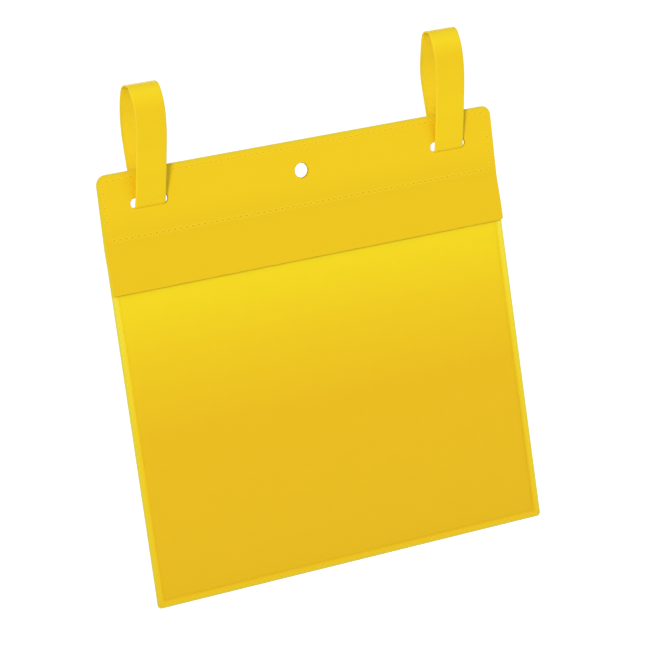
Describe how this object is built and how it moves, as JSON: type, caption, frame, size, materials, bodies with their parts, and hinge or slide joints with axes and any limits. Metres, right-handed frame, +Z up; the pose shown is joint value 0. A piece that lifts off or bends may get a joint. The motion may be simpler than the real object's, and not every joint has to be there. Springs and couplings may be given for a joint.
{
  "type": "hanging label pocket",
  "caption": "Flat hanging label pocket of welded plastic sheet, with a clear window, a rain flap that lifts, a hang hole and two strap loops through slots in its header.",
  "frame": {"origin": "centre of the hang hole, on the rear face of the rear panel", "axes": "+X to the right seen from the front, +Y backwards out of the rear face, +Z up"},
  "size_m": [0.224, 0.0211, 0.2613],
  "materials": {
    "yellow_sheet": "satin calendered polypropylene sheet",
    "yellow_strap": "satin extruded strap",
    "clear_film": "clear gloss film"
  },
  "bodies": {
    "pouch": {"back_panel": "yellow_sheet", "header_sheet": "yellow_sheet", "window_film": "clear_film", "film_margin_left": "clear_film", "film_margin_right": "clear_film", "film_margin_bottom": "clear_film", "strap_left_tail": "yellow_strap", "strap_right_tail": "yellow_strap", "strap_left_anchor": "yellow_strap", "strap_right_anchor": "yellow_strap"},
    "rain_flap": {"rain_flap": "yellow_sheet"},
    "left_loop": {"strap_left_loop": "yellow_strap"},
    "right_loop": {"strap_right_loop": "yellow_strap"}
  },
  "joints": [
    {"name": "flap_fold", "type": "hinge", "parent": "pouch", "child": "rain_flap", "pos_m": [0, -0.001, -0.0195], "axis": [-1, 0, 0], "range_deg": [0, 150], "stiffness_Nm_per_rad": 0.0006},
    {"name": "left_loop_rock", "type": "hinge", "parent": "pouch", "child": "left_loop", "pos_m": [-0.085, -0.0005, -0.0028], "axis": [1, 0, 0], "range_deg": [-15, 5], "stiffness_Nm_per_rad": 0.004},
    {"name": "right_loop_rock", "type": "hinge", "parent": "pouch", "child": "right_loop", "pos_m": [0.085, -0.0005, -0.0028], "axis": [1, 0, 0], "range_deg": [-15, 5], "stiffness_Nm_per_rad": 0.004}
  ]
}
